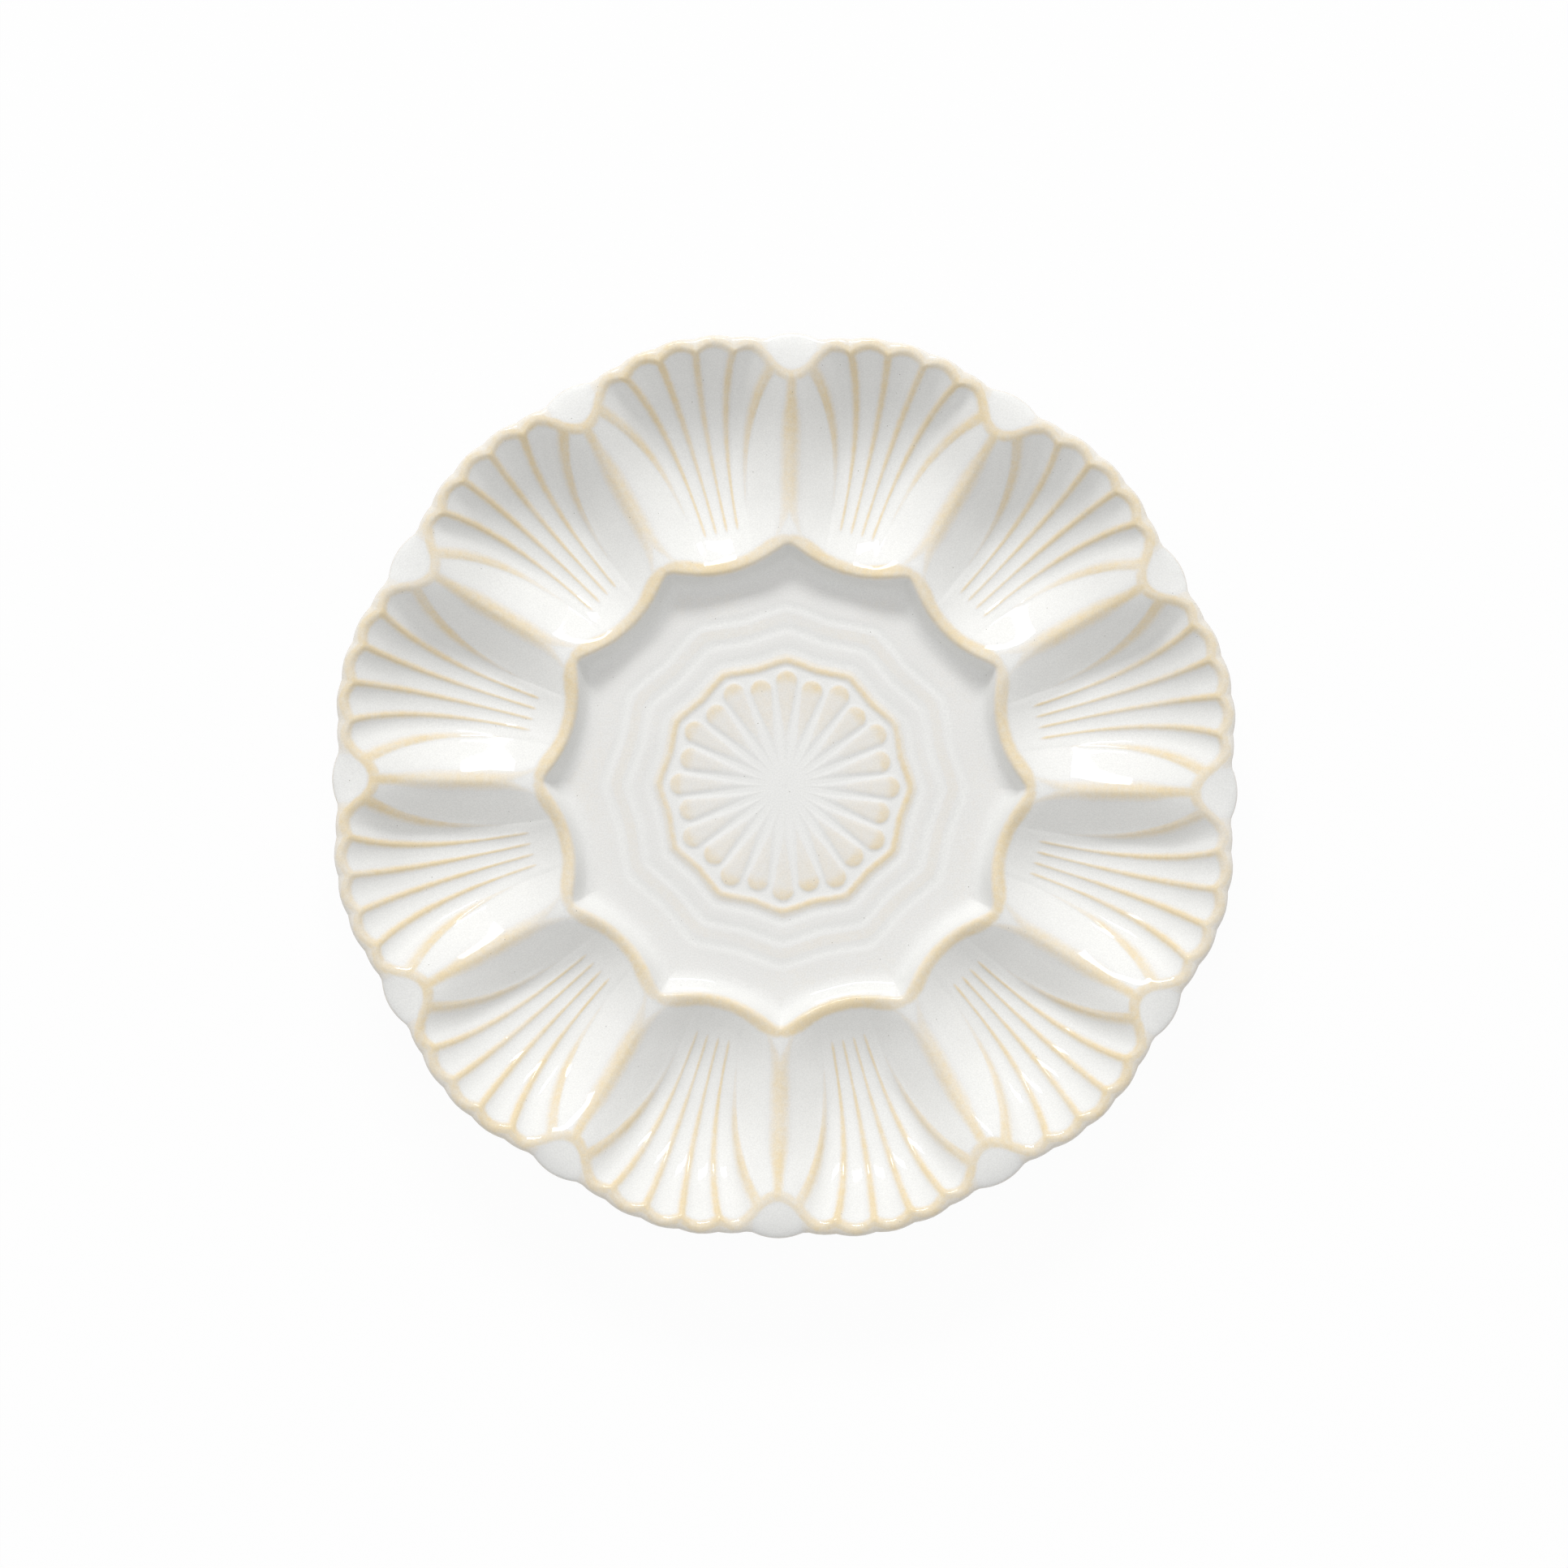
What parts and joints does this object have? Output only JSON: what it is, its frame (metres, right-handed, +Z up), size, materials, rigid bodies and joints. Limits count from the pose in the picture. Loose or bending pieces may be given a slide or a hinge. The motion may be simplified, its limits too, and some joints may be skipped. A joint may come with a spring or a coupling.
{
  "type": "deviled egg platter",
  "caption": "Round glazed stoneware egg platter: scallop-shell egg wells ring a sunk dish with a raised rosette, and the plate stands on a bare clay foot ring.",
  "frame": {"origin": "on the table under the middle of the platter, at the centre of the foot ring's standing face", "axes": "+Z up, the platter's axis; +X and +Y each along a ridge between two egg wells"},
  "size_m": [0.3012, 0.3012, 0.03],
  "materials": {
    "glaze": "gloss",
    "bare_clay": "matte"
  },
  "bodies": {
    "root": {"platter_body": "glaze", "foot_ring": "bare_clay"}
  },
  "joints": []
}
